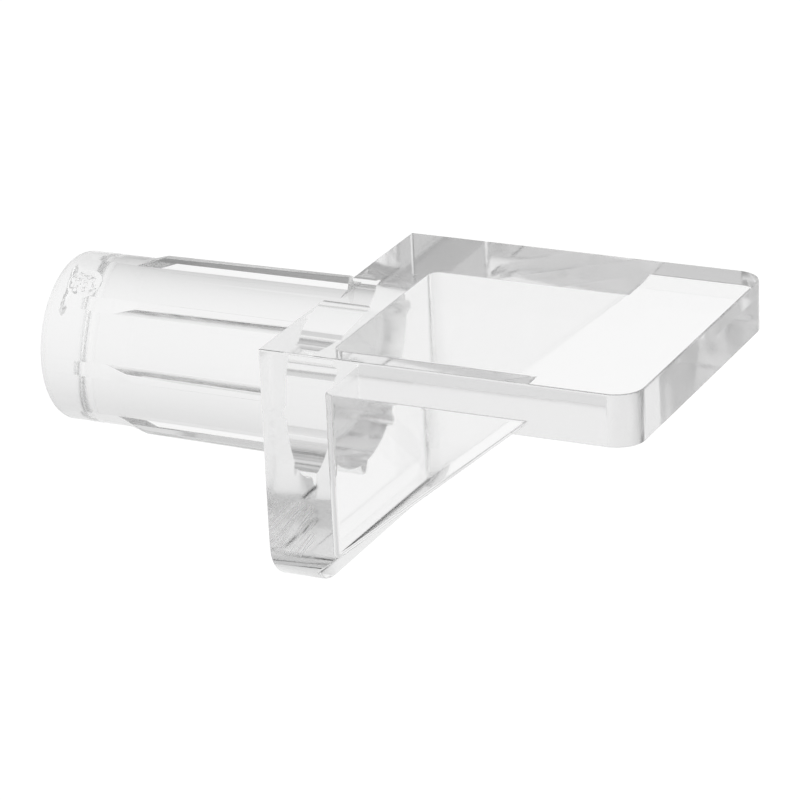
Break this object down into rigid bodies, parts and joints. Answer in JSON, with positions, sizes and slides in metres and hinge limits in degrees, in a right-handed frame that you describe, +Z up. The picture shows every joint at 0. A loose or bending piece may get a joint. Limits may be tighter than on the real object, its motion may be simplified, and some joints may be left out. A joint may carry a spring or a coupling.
{
  "type": "shelf support pin",
  "caption": "Clear moulded plastic shelf support: a ribbed round pin that presses into a cabinet side and a square plate, braced by two side webs, that carries the shelf.",
  "frame": {"origin": "on the pin's axis, in the plane of the wall face that seats on the cabinet side", "axes": "-X along the pin, into the cabinet side; +X along the shelf plate, under the shelf; +Y across the plate; +Z up, as fitted"},
  "size_m": [0.0226, 0.0116, 0.0087],
  "materials": {
    "clear_plastic": "clear, polished, moulded"
  },
  "bodies": {
    "root": {"support_pin": "clear_plastic"}
  },
  "joints": []
}
